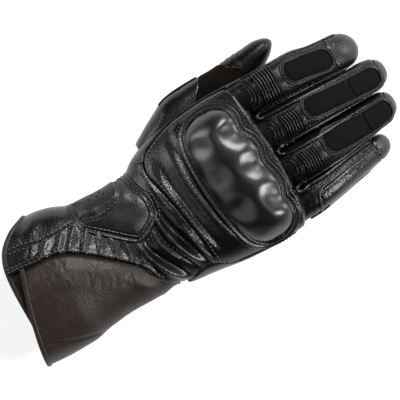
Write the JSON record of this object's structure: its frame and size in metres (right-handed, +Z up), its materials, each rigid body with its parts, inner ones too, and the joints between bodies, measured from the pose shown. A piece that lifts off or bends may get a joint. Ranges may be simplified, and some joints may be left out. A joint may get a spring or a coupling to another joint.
{
  "type": "leather motorcycle glove",
  "caption": "Right-hand gauntlet glove in black leather, lying palm down, with a moulded knuckle guard, ribbed fingers and a long cuff with a closing flap.",
  "frame": {"origin": "under the middle of the glove's box, on the surface that it rests on", "axes": "+Y from the cuff to the fingertips, +X towards the little finger, +Z up out of the back of the hand"},
  "size_m": [0.124, 0.2898, 0.063],
  "materials": {
    "leather": "satin",
    "flap_leather": "satin",
    "palm_suede": "matte suede",
    "textile": "matte",
    "guard_shell": "satin"
  },
  "bodies": {
    "root": {"cuff_back": "leather", "hand_back": "leather", "knuckle_yoke": "leather", "wrist_gather": "leather", "hand_side": "leather", "hand_palm": "leather", "cuff_under": "leather", "cuff_binding": "flap_leather", "cuff_flap": "flap_leather", "cuff_flap_under": "flap_leather", "flap_binding": "flap_leather", "index_finger": "leather", "index_tip_cap": "leather", "middle_finger": "leather", "middle_tip_cap": "leather", "ring_finger": "leather", "ring_tip_cap": "leather", "little_finger": "leather", "little_tip_cap": "leather", "thumb_base": "leather", "thumb_insert": "palm_suede", "thumb_tip": "leather", "knuckle_guard": "guard_shell", "guard_piping": "leather", "wrist_pad": "leather", "index_textile_pad": "textile", "middle_textile_pad": "textile", "middle_tip_pad": "textile", "ring_textile_pad": "textile", "ring_tip_pad": "textile", "index_ribs": "leather", "middle_ribs": "leather", "ring_ribs": "leather", "little_outer_panel": "leather", "index_middle_piping": "leather", "middle_ring_piping": "leather", "ring_little_piping": "leather"}
  },
  "joints": []
}
